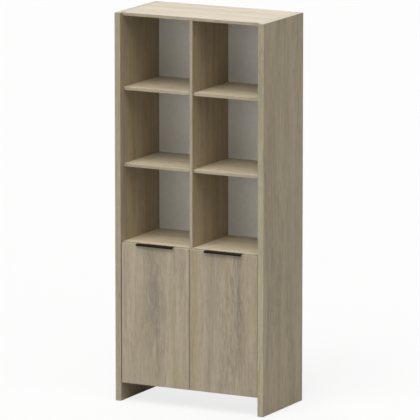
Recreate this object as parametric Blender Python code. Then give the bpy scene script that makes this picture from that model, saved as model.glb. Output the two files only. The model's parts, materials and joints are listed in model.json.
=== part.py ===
"""Storage cabinet: six open niches over a cupboard with two inset doors.

Metres, +Z up. The front faces -Y. The origin is at floor level, in the middle of the cabinet's outer box.
"""

import math

import bmesh
import bpy
from mathutils import Matrix, Vector

# Clearances
GAP = 0.0003  # between pieces that touch or are fastened together
PLAY = 0.001  # between a loose shelf and the boards beside it

# Carcass
WIDTH = 0.800
DEPTH = 0.417
HEIGHT = 1.900
SIDE_THICK = 0.030
BOARD_THICK = 0.015
EDGE = 0.0008  # eased edge of every board

# Heights, from the floor up. The upper niches take what is left.
LEG_ROOM = 0.097  # open space under the bottom board
CUPBOARD_CLEAR = 0.660
NICHE_LOWER = 0.3635
NICHE_MIDDLE = 0.357
GLIDE_HEIGHT = 0.003
GLIDE_RADIUS = 0.009
GLIDE_INSET = 0.040  # from the side's front and back edges

# Depths, from the sides' front edges back
DOOR_RECESS = 0.004
DOOR_AIR = 0.004  # between the doors' backs and the fixed boards
OPEN_SHELF_SETBACK = 0.012  # behind the fixed boards' front edges
CUPBOARD_SHELF_SETBACK = 0.020
BACK_THICK = 0.003
BACK_INSET = 0.018  # behind the back board, to the sides' back edges
GROOVE_DEPTH = 0.007

# Doors
DOOR_THICK = 0.016
DOOR_GAP = 0.003  # beside and between the doors
DOOR_DROP = 0.004  # door's top edge below the counter
DOOR_OVERHANG = 0.003  # door's bottom edge below the bottom board
DOOR_EDGE = 0.001
BUMPER_RADIUS = 0.004
BUMPER_INSET = 0.030  # from the door's free edge

# Edge pulls, bent from strip and hooked over the doors' top edges
PULL_LENGTH = 0.200
PULL_THICK = 0.0015
PULL_REACH = 0.012  # in front of the door
PULL_LIP = 0.009
PULL_LEG = 0.028
PULL_BEND = 0.0014

# Concealed hinges, measured from the door's hinge edge and back face
HINGE_INSET = 0.100  # from the door's top and bottom edges
CUP_RADIUS = 0.0175
CUP_DEPTH = 0.0112
CUP_EDGE = 0.0035  # door left between the cup and its edge
CUP_WALL = 0.0011
CUP_FLOOR = 0.0009
CUP_SLOT_HALF = 0.006
FLANGE_THICK = 0.0012
FLANGE_RADIUS = 0.019
FLANGE_TAB = 0.028  # from the cup's centre to a tab's end
FLANGE_TAB_RADIUS = 0.008
SCREW_HOLE_RADIUS = 0.0022
CUP_PIN_IN = 0.012
CUP_PIN_DEEP = 0.00454
ARM_PIN_IN = 0.02935
ARM_PIN_BEHIND = 0.0065
HINGE_PIN_RADIUS = 0.0013
HINGE_EYE_RADIUS = 0.0032
LINK_HALF = 0.005  # half its height
LINK_WALL_HALF = 0.0021  # half its thickness
LINK_BOW = 0.0155
LINK_BOW_PLACE = 0.58  # along the line between the pins
ARM_HALF = 0.008
ARM_WALL_HALF = 0.004
ARM_SHEET = 0.0012
ARM_STRAIGHT = 0.0175
ARM_CRANK = 0.016
ARM_REAR = 0.036
ARM_LIFT = 0.0087  # from the side panel to the arm's open edge
PLATE_THICK = 0.003
PLATE_WING = 0.024  # from the plate's middle to a wing's end
PLATE_HALF = 0.009

# Shelf supports in the cupboard
CUPBOARD_SHELF_LIFT = 0.322  # bottom board to the shelf's underside
SUPPORT_RADIUS = 0.0025
SUPPORT_SHANK = 0.005
SUPPORT_HEAD_RADIUS = 0.0035
SUPPORT_HEAD = 0.008
SUPPORT_FRONT = 0.060  # behind the fixed boards' front edges
SUPPORT_REAR = 0.045  # in front of the back board
HOLE_PITCH = 0.032
HOLE_ROWS = (-1, 0, 1)

# Joining strip between the two back boards
STRIP_WALL = 0.0012
STRIP_HALF = 0.006
STRIP_WEB = 0.001

OAK = ((0.470, 0.400, 0.290), 0.55, 0.0)
WHITE = ((0.62, 0.60, 0.57), 0.60, 0.0)
BLACK = ((0.012, 0.011, 0.010), 0.42, 1.0)
NICKEL = ((0.62, 0.61, 0.58), 0.32, 1.0)
PLASTIC = ((0.55, 0.54, 0.51), 0.50, 0.0)
CLEAR = ((0.70, 0.70, 0.68), 0.35, 0.0)

# Levels and planes that follow from the sizes above
BOTTOM_TOP = LEG_ROOM + BOARD_THICK
MIDDLE_UNDER = BOTTOM_TOP + CUPBOARD_CLEAR
COUNTER = MIDDLE_UNDER + BOARD_THICK
SHELF_LOWER = COUNTER + NICHE_LOWER
SHELF_UPPER = SHELF_LOWER + BOARD_THICK + NICHE_MIDDLE
TOP_UNDER = HEIGHT - BOARD_THICK

PULL_PROUD = PULL_REACH - DOOR_RECESS
FRONT = (PULL_PROUD - DEPTH) / 2  # front edges of the sides
REAR = FRONT + DEPTH
DOOR_FRONT = FRONT + DOOR_RECESS
DOOR_BACK = DOOR_FRONT + DOOR_THICK
FIXED_FRONT = DOOR_BACK + DOOR_AIR
BACK_REAR = REAR - BACK_INSET
BACK_FRONT = BACK_REAR - BACK_THICK

INNER = WIDTH / 2 - SIDE_THICK  # the sides' inner faces
HALF_BOARD = BOARD_THICK / 2
DOOR_WIDTH = (2 * INNER - 3 * DOOR_GAP) / 2
DOOR_BOTTOM = LEG_ROOM - DOOR_OVERHANG
DOOR_TOP = COUNTER - DOOR_DROP
HINGE_HEIGHTS = (("lower", DOOR_BOTTOM + HINGE_INSET), ("upper", DOOR_TOP - HINGE_INSET))
SIDES = (("left", -1), ("right", 1))


def clear_scene():
    for old in list(bpy.data.objects):
        bpy.data.objects.remove(old, do_unlink=True)


def material(name, finish):
    colour, roughness, metallic = finish
    made = bpy.data.materials.new(name)
    made.use_nodes = True
    shader = made.node_tree.nodes["Principled BSDF"]
    shader.inputs["Base Color"].default_value = (*colour, 1.0)
    shader.inputs["Roughness"].default_value = roughness
    shader.inputs["Metallic"].default_value = metallic
    made.diffuse_color = (*colour, 1.0)
    return made


# Shapes, added to a bmesh in world coordinates


def add_box(bm, x, y, z):
    """A box between the (low, high) pairs x, y and z."""
    centre = Vector((sum(x) / 2, sum(y) / 2, sum(z) / 2))
    size = Vector((x[1] - x[0], y[1] - y[0], z[1] - z[0]))
    bmesh.ops.create_cube(bm, size=1.0, matrix=Matrix.Translation(centre) @ Matrix.Diagonal((*size, 1.0)))


def add_rod(bm, start, end, radius, sides=24):
    """A round rod between two points."""
    start, end = Vector(start), Vector(end)
    along = end - start
    turn = along.to_track_quat("Z", "Y").to_matrix().to_4x4()
    stance = Matrix.Translation((start + end) / 2) @ turn
    bmesh.ops.create_cone(
        bm, cap_ends=True, segments=sides, radius1=radius, radius2=radius, depth=along.length, matrix=stance
    )


def add_prism(bm, outline, point, low, high):
    """An outline of 2-D points extruded from low to high. point(u, v, w) gives the place in space."""
    floor = [bm.verts.new(point(u, v, low)) for u, v in outline]
    face = bm.faces.new(floor)
    rise = Vector(point(0, 0, high)) - Vector(point(0, 0, low))
    grown = bmesh.ops.extrude_face_region(bm, geom=[face])["geom"]
    bmesh.ops.translate(bm, verts=[v for v in grown if isinstance(v, bmesh.types.BMVert)], vec=rise)


def add_turned(bm, profile, stance, sides=24):
    """A profile of (radius, height) points turned about the Z axis of the stance, a matrix."""
    points = [bm.verts.new(stance @ Vector((r, 0.0, h))) for r, h in profile]
    edges = [bm.edges.new(pair) for pair in zip(points, points[1:])]
    centre = stance.translation
    axis = stance.to_3x3() @ Vector((0.0, 0.0, 1.0))
    bmesh.ops.spin(
        bm, geom=points + edges, cent=centre, axis=axis, angle=math.tau, steps=sides, use_merge=True
    )
    bmesh.ops.remove_doubles(bm, verts=bm.verts, dist=0.00002)


# Outlines in two dimensions


def rounded(points, radius, steps=4):
    """The path with each inner corner replaced by a bend."""
    path = [points[0]]
    for before, corner, after in zip(points, points[1:], points[2:]):
        corner = Vector(corner)
        start = corner + (Vector(before) - corner).normalized() * radius
        end = corner + (Vector(after) - corner).normalized() * radius
        for step in range(steps + 1):
            t = step / steps
            path.append((1 - t) ** 2 * start + 2 * t * (1 - t) * corner + t ** 2 * end)
    path.append(points[-1])
    return [Vector(p) for p in path]


def bowed(start, end, bow, share, steps=14):
    """A curve from start to end, drawn to the right by a handle at a share of the way."""
    start, end = Vector(start), Vector(end)
    along = end - start
    aside = Vector((along.y, -along.x)).normalized()
    pull = start + along * share + aside * bow
    curve = []
    for step in range(steps + 1):
        t = step / steps
        curve.append((1 - t) ** 2 * start + 2 * t * (1 - t) * pull + t ** 2 * end)
    return curve


def strip(path, to_left, to_right):
    """The outline of a strip that follows the path, with its reach to the left and to the right."""
    left, right = [], []
    for index, point in enumerate(path):
        before = path[max(index - 1, 0)]
        after = path[min(index + 1, len(path) - 1)]
        into = (point - before).normalized() if index else (after - point).normalized()
        out = (after - point).normalized() if index < len(path) - 1 else into
        along = (into + out).normalized()
        aside = Vector((-along.y, along.x)) / along.dot(into)
        left.append(point + aside * to_left)
        right.append(point - aside * to_right)
    return [tuple(p) for p in left + right[::-1]]


def stadium(reach, radius, steps=12):
    """A slot's outline along the second axis: half circles about points that end at the reach."""
    outline = []
    for end in (1, -1):
        for step in range(steps + 1):
            turn = math.pi * step / steps + (0 if end > 0 else math.pi)
            outline.append((radius * math.cos(turn), end * (reach - radius) + radius * math.sin(turn)))
    return outline


# Objects


def finish_object(name, bm, origin, finish, parent=None, smooth=False):
    """The bmesh as an object with its origin at the given point."""
    origin = Vector(origin)
    bmesh.ops.recalc_face_normals(bm, faces=bm.faces)
    bmesh.ops.translate(bm, verts=bm.verts, vec=-origin)
    mesh = bpy.data.meshes.new(name)
    bm.to_mesh(mesh)
    bm.free()
    made = bpy.data.objects.new(name, mesh)
    bpy.context.collection.objects.link(made)
    place(made, origin, parent)
    if finish:
        mesh.materials.append(material(f"{name} {len(bpy.data.materials)}", finish))
    if smooth:
        mesh.shade_smooth()
        mesh.set_sharp_from_angle(angle=math.radians(35))
    return made


def place(made, origin, parent):
    if parent:
        made.parent = parent
        made.location = Vector(origin) - Vector(parent["at"])
    else:
        made.location = origin


def axis_empty(name, at, parent=None):
    """An empty on a joint's axis, which carries the pieces that turn about it."""
    made = bpy.data.objects.new(name, None)
    bpy.context.collection.objects.link(made)
    made.empty_display_size = 0.02
    made["at"] = tuple(at)
    place(made, at, parent)
    return made


def ease(made, width, segments=1):
    bevel = made.modifiers.new("eased edges", "BEVEL")
    bevel.width = width
    bevel.segments = segments
    bevel.limit_method = "ANGLE"
    bevel.angle_limit = math.radians(40)
    bevel.harden_normals = False


def combine(made, build, operation="DIFFERENCE"):
    """Cut, or join, shapes with the object. build adds them to a bmesh in world coordinates."""
    bm = bmesh.new()
    build(bm)
    tool = finish_object(f"{made.name} tool {len(made.modifiers)}", bm, (0, 0, 0), None)
    tool.hide_render = True
    tool.display_type = "WIRE"
    change = made.modifiers.new(tool.name, "BOOLEAN")
    change.operation = operation
    change.object = tool
    change.solver = "EXACT"


def bake(made, smooth=False):
    """Make the modifiers' result the object's mesh, and remove the tools that shaped it."""
    bpy.context.view_layer.update()
    graph = bpy.context.evaluated_depsgraph_get()
    mesh = bpy.data.meshes.new_from_object(made.evaluated_get(graph))
    tools = [change.object for change in made.modifiers if change.type == "BOOLEAN"]
    made.modifiers.clear()
    made.data = mesh
    mesh.name = made.name
    if smooth:
        mesh.shade_smooth()
        mesh.set_sharp_from_angle(angle=math.radians(35))
    for tool in tools:
        bpy.data.objects.remove(tool, do_unlink=True)
    return made


def copy_to(made, name, rise):
    """The same piece again, higher up."""
    twin = made.copy()
    twin.name = name
    twin.location.z += rise
    bpy.context.collection.objects.link(twin)
    return twin


def board(name, x, y, z, finish=OAK, parent=None, edge=EDGE):
    """A flat board between the (low, high) pairs, with eased edges."""
    bm = bmesh.new()
    add_box(bm, x, y, z)
    made = finish_object(name, bm, (sum(x) / 2, sum(y) / 2, sum(z) / 2), finish, parent)
    ease(made, edge)
    return made


# Carcass


def support_levels():
    level = BOTTOM_TOP + CUPBOARD_SHELF_LIFT - GAP - SUPPORT_HEAD_RADIUS
    return [level + row * HOLE_PITCH for row in HOLE_ROWS]


def support_depths():
    return (("front", FIXED_FRONT + SUPPORT_FRONT), ("rear", BACK_FRONT - SUPPORT_REAR))


def add_support_holes(bm, face, into):
    """Rows of blind holes in a board's face at x = face; into is the side that they run to."""
    deep = face + into * (SUPPORT_SHANK + GAP + GAP)
    out = face - into * BOARD_THICK / 2
    for level in support_levels():
        for _, depth in support_depths():
            add_rod(bm, (out, depth, level), (deep, depth, level), SUPPORT_RADIUS + GAP, sides=8)


def side_panel(label, side):
    inner, outer = side * INNER, side * WIDTH / 2
    x = tuple(sorted((inner, outer)))
    made = board(f"{label}_side_panel", x, (FRONT, REAR), (GLIDE_HEIGHT + GAP, HEIGHT))

    def cuts(bm):
        groove = tuple(sorted((inner - side * SIDE_THICK / 2, inner + side * GROOVE_DEPTH)))
        add_box(bm, groove, (BACK_FRONT - GAP, BACK_REAR + GAP), (LEG_ROOM - GAP, TOP_UNDER + GROOVE_DEPTH))
        add_support_holes(bm, inner, side)

    combine(made, cuts)
    return bake(made)


def top_panel():
    span = INNER - GAP
    made = board("top_panel", (-span, span), (FIXED_FRONT, REAR), (TOP_UNDER, HEIGHT))

    def groove(bm):
        slot = (BACK_FRONT - GAP, BACK_REAR + GAP)
        add_box(bm, (-WIDTH, WIDTH), slot, (SHELF_UPPER, TOP_UNDER + GROOVE_DEPTH))

    combine(made, groove)
    return bake(made)


def fixed_boards():
    span = INNER - GAP
    behind_strip = BACK_FRONT - GAP - STRIP_WALL - GAP
    bake(board("middle_panel", (-span, span), (FIXED_FRONT, behind_strip), (MIDDLE_UNDER, COUNTER)))
    bake(board("bottom_panel", (-span, span), (FIXED_FRONT, BACK_FRONT - GAP), (LEG_ROOM, BOTTOM_TOP)))


def dividers():
    x = (-HALF_BOARD, HALF_BOARD)
    y = (FIXED_FRONT, BACK_FRONT - GAP)
    bake(board("upper_divider", x, y, (COUNTER + GAP, TOP_UNDER - GAP)))
    lower = board("lower_divider", x, y, (BOTTOM_TOP + GAP, MIDDLE_UNDER - GAP))

    def holes(bm):
        add_support_holes(bm, -HALF_BOARD, 1)
        add_support_holes(bm, HALF_BOARD, -1)

    combine(lower, holes)
    bake(lower)


def bay(side, clearance):
    """The span between the divider and a side panel, as a (low, high) pair."""
    return tuple(sorted((side * (HALF_BOARD + clearance), side * (INNER - clearance))))


def open_shelves():
    y = (FIXED_FRONT + OPEN_SHELF_SETBACK, BACK_FRONT - GAP)
    for label, side in SIDES:
        for level, under in (("lower", SHELF_LOWER), ("upper", SHELF_UPPER)):
            bake(board(f"{level}_{label}_open_shelf", bay(side, GAP), y, (under, under + BOARD_THICK)))


def cupboard_shelves():
    y = (FIXED_FRONT + CUPBOARD_SHELF_SETBACK, BACK_FRONT - PLAY)
    under = BOTTOM_TOP + CUPBOARD_SHELF_LIFT
    for label, side in SIDES:
        bake(board(f"{label}_cupboard_shelf", bay(side, PLAY), y, (under, under + BOARD_THICK)))


def shelf_supports():
    """Stepped pins: the shank sits in a hole and the thicker head carries the shelf."""
    profile = (
        (0.0, -SUPPORT_SHANK),
        (SUPPORT_RADIUS, -SUPPORT_SHANK),
        (SUPPORT_RADIUS, GAP),
        (SUPPORT_HEAD_RADIUS, GAP),
        (SUPPORT_HEAD_RADIUS, SUPPORT_HEAD),
        (0.0, SUPPORT_HEAD),
    )
    level = support_levels()[HOLE_ROWS.index(0)]
    for label, side in SIDES:
        for wall, face, out in (("side", side * INNER, -side), ("divider", side * HALF_BOARD, side)):
            for row, depth in support_depths():
                turn = Matrix.Rotation(out * math.pi / 2, 4, "Y")
                bm = bmesh.new()
                add_turned(bm, profile, Matrix.Translation((face, depth, level)) @ turn, sides=8)
                name = f"shelf_support_{label}_{wall}_{row}"
                finish_object(name, bm, (face, depth, level), NICKEL, smooth=True)


def back_boards():
    """Two thin sheets in grooves, joined behind the middle panel by a strip of H section."""
    reach = INNER + GROOVE_DEPTH - PLAY
    middle = (MIDDLE_UNDER + COUNTER) / 2
    y = (BACK_FRONT, BACK_REAR)
    half_web = STRIP_WEB / 2
    upper_z = (middle + half_web + GAP, TOP_UNDER + GROOVE_DEPTH - PLAY)
    bake(board("upper_back_board", (-reach, reach), y, upper_z, WHITE, edge=GAP))
    bake(board("lower_back_board", (-reach, reach), y, (LEG_ROOM, middle - half_web - GAP), WHITE, edge=GAP))

    inside = (BACK_FRONT - GAP, BACK_REAR + GAP)
    outside = (inside[0] - STRIP_WALL, inside[1] + STRIP_WALL)
    quarter = ((outside[0], STRIP_HALF), (inside[0], STRIP_HALF), (inside[0], half_web))
    half = quarter + tuple((inside[0] + inside[1] - u, v) for u, v in quarter[::-1])
    outline = [(u, middle + v) for u, v in half] + [(u, middle - v) for u, v in half[::-1]]
    span = INNER - GAP
    bm = bmesh.new()
    add_prism(bm, outline, lambda u, v, w: (w, u, v), -span, span)
    finish_object("back_joining_strip", bm, (0, BACK_REAR, middle), WHITE)


def glides():
    """Turned plastic glides nailed under the sides."""
    chamfer = GLIDE_HEIGHT / 3
    profile = (
        (0.0, 0.0),
        (GLIDE_RADIUS - chamfer, 0.0),
        (GLIDE_RADIUS, chamfer),
        (GLIDE_RADIUS, GLIDE_HEIGHT),
        (0.0, GLIDE_HEIGHT),
    )
    x = INNER + SIDE_THICK / 2
    for label, side in SIDES:
        for row, y in (("front", FRONT + GLIDE_INSET), ("rear", REAR - GLIDE_INSET)):
            bm = bmesh.new()
            add_turned(bm, profile, Matrix.Translation((side * x, y, 0.0)), sides=16)
            finish_object(f"glide_{label}_{row}", bm, (side * x, y, 0.0), PLASTIC, smooth=True)


# Doors


def in_bay(side, x, y):
    """Hinge coordinates to the world: x from the door's hinge edge inwards, y from its back to the rear."""
    return (side * (INNER - DOOR_GAP - x), DOOR_BACK + y)


def hinge_axes(label, side):
    """The empties on the two pivots: the link turns on the arm's pin and the door on the cup's pin."""
    arm = (*in_bay(side, ARM_PIN_IN, ARM_PIN_BEHIND), 0.0)
    cup = (*in_bay(side, CUP_PIN_IN, -CUP_PIN_DEEP), 0.0)
    link_axis = axis_empty(f"{label} link axis", arm)
    door_axis = axis_empty(f"{label} door axis", cup, link_axis)
    return link_axis, door_axis


def cup_centre():
    return CUP_EDGE + CUP_RADIUS


def door(label, side, axis):
    x = tuple(sorted((side * DOOR_GAP / 2, side * (DOOR_GAP / 2 + DOOR_WIDTH))))
    made = board(
        f"{label}_door", x, (DOOR_FRONT, DOOR_BACK), (DOOR_BOTTOM, DOOR_TOP), parent=axis, edge=DOOR_EDGE
    )
    middle = sum(x) / 2

    def cuts(bm):
        half = PULL_LENGTH / 2 + GAP
        rebate = (DOOR_BACK - PULL_THICK - GAP, DOOR_BACK + DOOR_AIR)
        add_box(bm, (middle - half, middle + half), rebate, (DOOR_TOP - PULL_LEG - GAP, COUNTER + DOOR_DROP))
        for _, level in HINGE_HEIGHTS:
            cx, back = in_bay(side, cup_centre(), 0.0)
            floor = back - CUP_DEPTH - GAP
            add_rod(bm, (cx, floor, level), (cx, back + DOOR_AIR, level), CUP_RADIUS + GAP, sides=32)

    combine(made, cuts)
    bake(made)
    pull(label, middle, axis)
    bumpers(label, side, axis)


def pull(label, middle, axis):
    """A strip bent over the door's top edge: leg in the rebate behind, plate on the edge, lip in front."""
    half = PULL_THICK / 2
    leg = DOOR_BACK - half
    plate = DOOR_TOP + GAP + half
    lip = DOOR_FRONT - PULL_REACH + half
    corners = (
        (leg, DOOR_TOP - PULL_LEG),
        (leg, plate),
        (lip, plate),
        (lip, plate + half - PULL_LIP),
    )
    outline = strip(rounded([Vector(c) for c in corners], PULL_BEND), half, half)
    bm = bmesh.new()
    add_prism(
        bm, outline, lambda u, v, w: (w, u, v), middle - PULL_LENGTH / 2, middle + PULL_LENGTH / 2
    )
    finish_object(f"{label}_pull", bm, (middle, DOOR_BACK, DOOR_TOP), BLACK, axis)


def bumpers(label, side, axis):
    """Soft domes on the door's back that meet the fixed boards."""
    rise = DOOR_AIR - GAP - GAP
    profile = (
        (0.0, 0.0),
        (BUMPER_RADIUS, 0.0),
        (BUMPER_RADIUS, rise / 2),
        (BUMPER_RADIUS * 0.75, rise),
        (0.0, rise),
    )
    x = side * (DOOR_GAP / 2 + BUMPER_INSET)
    levels = (("top", DOOR_TOP - BUMPER_RADIUS - DOOR_EDGE), ("bottom", LEG_ROOM + HALF_BOARD))
    for row, level in levels:
        stance = Matrix.Translation((x, DOOR_BACK + GAP, level)) @ Matrix.Rotation(-math.pi / 2, 4, "X")
        bm = bmesh.new()
        add_turned(bm, profile, stance, sides=12)
        finish_object(f"bumper_{label}_{row}", bm, (x, DOOR_BACK, level), CLEAR, axis, smooth=True)


# Hinges


def hinge_cup(label, side, level, axis):
    """The cup let into the door, with its flange and the pin that the link turns on."""
    cx, back = in_bay(side, cup_centre(), 0.0)
    face = back + GAP + FLANGE_THICK
    bm = bmesh.new()
    add_rod(bm, (cx, back - CUP_DEPTH, level), (cx, face, level), CUP_RADIUS, sides=32)
    made = finish_object(f"{label}_lower_hinge_cup", bm, (cx, back, level), NICKEL, axis)

    def flange(bm):
        add_rod(bm, (cx, back + GAP, level), (cx, face, level), FLANGE_RADIUS, sides=32)

    def tabs(bm):
        outline = stadium(FLANGE_TAB, FLANGE_TAB_RADIUS)
        add_prism(bm, outline, lambda u, v, w: (cx + u, w, level + v), back + GAP, face)

    def screw_holes(bm):
        reach = FLANGE_TAB - FLANGE_TAB_RADIUS + SCREW_HOLE_RADIUS
        for rise in (-reach, reach):
            ends = [(cx, y, level + rise) for y in (back - CUP_WALL, face + CUP_WALL)]
            add_rod(bm, *ends, SCREW_HOLE_RADIUS, sides=10)

    def slot(bm):
        start, _ = in_bay(side, CUP_EDGE + CUP_WALL, 0.0)
        end, _ = in_bay(side, CUP_EDGE + 2 * CUP_RADIUS - CUP_WALL, 0.0)
        x = tuple(sorted((start, end)))
        y = (back - CUP_DEPTH + CUP_FLOOR, face + CUP_WALL)
        add_box(bm, x, y, (level - CUP_SLOT_HALF, level + CUP_SLOT_HALF))

    def pin(bm):
        px, py = in_bay(side, CUP_PIN_IN, -CUP_PIN_DEEP)
        half = CUP_SLOT_HALF + CUP_WALL
        add_rod(bm, (px, py, level - half), (px, py, level + half), HINGE_PIN_RADIUS, sides=10)

    combine(made, flange, "UNION")
    combine(made, tabs, "UNION")
    combine(made, screw_holes)
    combine(made, slot)
    combine(made, pin, "UNION")
    return bake(made, smooth=True)


def hinge_link(label, side, level, axis):
    """The bowed link between the arm's pin and the cup's pin. It swings clear of the cup's rim."""
    ends = ((CUP_PIN_IN, -CUP_PIN_DEEP), (ARM_PIN_IN, ARM_PIN_BEHIND))
    curve = bowed(*ends, LINK_BOW, LINK_BOW_PLACE)
    outline = strip(curve, LINK_WALL_HALF, LINK_WALL_HALF)
    places = [in_bay(side, *end) for end in ends]
    bm = bmesh.new()
    add_prism(bm, outline, lambda u, v, w: (*in_bay(side, u, v), w), level - LINK_HALF, level + LINK_HALF)
    made = finish_object(f"{label}_lower_hinge_link", bm, (*places[1], level), NICKEL, axis)

    def rods(radius, half):
        def build(bm):
            for x, y in places:
                add_rod(bm, (x, y, level - half), (x, y, level + half), radius, sides=14)

        return build

    combine(made, rods(HINGE_EYE_RADIUS, LINK_HALF), "UNION")
    combine(made, rods(HINGE_PIN_RADIUS + GAP, LINK_HALF + LINK_HALF), "DIFFERENCE")
    return bake(made, smooth=True)


def arm_rest():
    """Hinge coordinate of the arm's middle where it lies over the plate."""
    return -DOOR_GAP + ARM_LIFT + ARM_WALL_HALF


def hinge_arm(label, side, level):
    """The cranked channel on the side panel. Its forked end holds the other pin."""
    start = Vector((ARM_PIN_IN, ARM_PIN_BEHIND))
    bend = start + Vector((0.0, ARM_STRAIGHT))
    foot = Vector((arm_rest(), bend.y + ARM_CRANK))
    corners = (start, bend, foot, foot + Vector((0.0, ARM_REAR)))
    path = rounded(corners, ARM_WALL_HALF * 1.5)
    outline = strip(path, ARM_WALL_HALF, ARM_WALL_HALF)
    px, py = in_bay(side, *start)
    bm = bmesh.new()
    add_prism(bm, outline, lambda u, v, w: (*in_bay(side, u, v), w), level - ARM_HALF, level + ARM_HALF)
    made = finish_object(f"{label}_lower_hinge_arm", bm, (px, py, level), NICKEL)
    fork = LINK_HALF + GAP

    def nose(bm):
        add_rod(bm, (px, py, level - ARM_HALF), (px, py, level + ARM_HALF), ARM_WALL_HALF, sides=20)

    def channel(bm):
        front = start + Vector((0.0, ARM_STRAIGHT / 2))
        rear = path[-1] + Vector((0.0, ARM_WALL_HALF))
        inside = [front, *path[1:-1], rear]
        hollow = strip(inside, ARM_WALL_HALF * 1.5, ARM_WALL_HALF - ARM_SHEET)
        half = ARM_HALF - ARM_SHEET
        add_prism(bm, hollow, lambda u, v, w: (*in_bay(side, u, v), w), level - half, level + half)

    def gap(bm):
        reach = ARM_WALL_HALF + HINGE_EYE_RADIUS
        low = py - reach
        high = py + HINGE_EYE_RADIUS + 2 * GAP
        add_box(bm, (px - reach, px + reach), (low, high), (level - fork, level + fork))

    def pin(bm):
        half = fork + (ARM_HALF - fork) / 2
        add_rod(bm, (px, py, level - half), (px, py, level + half), HINGE_PIN_RADIUS, sides=10)

    combine(made, nose, "UNION")
    combine(made, channel)
    combine(made, gap)
    combine(made, pin, "UNION")
    return bake(made, smooth=True)


def hinge_plate(label, side, level):
    """The mounting plate screwed to the side panel: two wings, and a bed that fills the arm's channel."""
    middle = ARM_PIN_BEHIND + ARM_STRAIGHT + ARM_CRANK + ARM_REAR / 2
    foot = -DOOR_GAP + GAP
    face = foot + PLATE_THICK
    crest = arm_rest() + ARM_WALL_HALF - ARM_SHEET - GAP
    half = ARM_HALF - ARM_SHEET - GAP

    def outward(u, v, w):
        return (*in_bay(side, w, middle + u), level + v)

    bm = bmesh.new()
    add_prism(bm, stadium(PLATE_WING, PLATE_HALF), outward, foot, face)
    made = finish_object(f"{label}_lower_hinge_plate", bm, outward(0.0, 0.0, foot), NICKEL)
    ease(made, PLATE_THICK / 4)

    def bed(bm):
        front = ARM_WALL_HALF - ARM_REAR / 2
        corners = ((front, -half), (ARM_REAR / 2, -half), (ARM_REAR / 2, half), (front, half))
        add_prism(bm, corners, outward, foot, crest)

    def screw_holes(bm):
        rise = (PLATE_WING + half) / 2
        for v in (-rise, rise):
            ends = [outward(0.0, v, w) for w in (foot - GAP, face + GAP)]
            add_rod(bm, *ends, SCREW_HOLE_RADIUS, sides=10)

    combine(made, bed, "UNION")
    combine(made, screw_holes)
    return bake(made, smooth=True)


def hinges(label, side, link_axis, door_axis):
    (_, low), (_, high) = HINGE_HEIGHTS
    pieces = (
        hinge_cup(label, side, low, door_axis),
        hinge_link(label, side, low, link_axis),
        hinge_arm(label, side, low),
        hinge_plate(label, side, low),
    )
    for piece in pieces:
        copy_to(piece, piece.name.replace("lower", "upper"), high - low)


def main():
    clear_scene()
    for label, side in SIDES:
        side_panel(label, side)
    top_panel()
    fixed_boards()
    dividers()
    open_shelves()
    cupboard_shelves()
    shelf_supports()
    back_boards()
    glides()
    for label, side in SIDES:
        link_axis, door_axis = hinge_axes(label, side)
        door(label, side, door_axis)
        hinges(label, side, link_axis, door_axis)


main()
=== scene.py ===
# %% [markdown]
# # Dressing a storage cabinet in pale oak foil
# The object is a tall, narrow cabinet: two columns of open niches over a cupboard with two doors. Its boards,
# doors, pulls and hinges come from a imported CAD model, which is loaded here as a fixed frame. Nothing in the
# frame is moved or resized. This lesson gives every surface its finish, and adds the pieces that are too fine
# for the model: screws, rivets, covers and nails. All sizes are in metres and the front faces -Y.

# %% Load the frame
import json
import math

import bmesh
import bpy
from mathutils import Matrix, Vector


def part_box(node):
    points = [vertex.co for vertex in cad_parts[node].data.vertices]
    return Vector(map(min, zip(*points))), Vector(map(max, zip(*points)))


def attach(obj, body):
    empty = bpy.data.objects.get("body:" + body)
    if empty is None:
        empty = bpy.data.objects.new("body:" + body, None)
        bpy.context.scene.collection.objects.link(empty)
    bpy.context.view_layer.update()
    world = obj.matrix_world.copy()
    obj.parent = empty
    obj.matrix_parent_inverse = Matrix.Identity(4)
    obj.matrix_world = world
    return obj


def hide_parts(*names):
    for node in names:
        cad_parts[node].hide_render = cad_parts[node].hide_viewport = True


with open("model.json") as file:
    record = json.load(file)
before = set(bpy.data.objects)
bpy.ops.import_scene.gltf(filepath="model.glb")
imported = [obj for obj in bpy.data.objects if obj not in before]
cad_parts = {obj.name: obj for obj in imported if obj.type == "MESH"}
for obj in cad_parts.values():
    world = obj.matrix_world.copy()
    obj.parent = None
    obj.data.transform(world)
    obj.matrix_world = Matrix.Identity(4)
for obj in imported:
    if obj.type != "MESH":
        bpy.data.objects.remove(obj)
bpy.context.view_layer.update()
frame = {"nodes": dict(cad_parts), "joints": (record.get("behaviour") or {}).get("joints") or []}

nodes = frame["nodes"]

# %% [markdown]
# ## The camera
# The picture was taken from far away with a long lens, from above the cabinet's top and to its right, so that
# the uprights stay almost parallel. A camera could be moved by eye until the outlines match. Here its place
# and direction were fitted to the cabinet's outer corners, which is more exact. The lens is given as a share
# of the picture's width, because its millimetres mean nothing without the sensor's.

# %% Place the camera
CAMERA_AT = (11.913, -22.770, 5.8186)
CAMERA_HEADING = 27.602  # degrees, from straight ahead to the left
CAMERA_DIP = 10.748  # degrees below the horizon
CAMERA_REACH = 100  # what is further away isn't drawn
SENSOR = 36.0  # millimetres
LENS_PER_PICTURE = 12.961  # focal length over the picture's width

bpy.ops.object.camera_add(
    location=CAMERA_AT,
    rotation=(math.radians(90 - CAMERA_DIP), 0, math.radians(CAMERA_HEADING)),
)
camera = bpy.context.object
camera.name = "camera"
camera.data.sensor_width = SENSOR
camera.data.sensor_fit = "HORIZONTAL"
camera.data.lens = LENS_PER_PICTURE * SENSOR
camera.data.clip_end = CAMERA_REACH
bpy.context.scene.camera = camera
print("lens:", round(camera.data.lens, 1), "mm")

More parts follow.
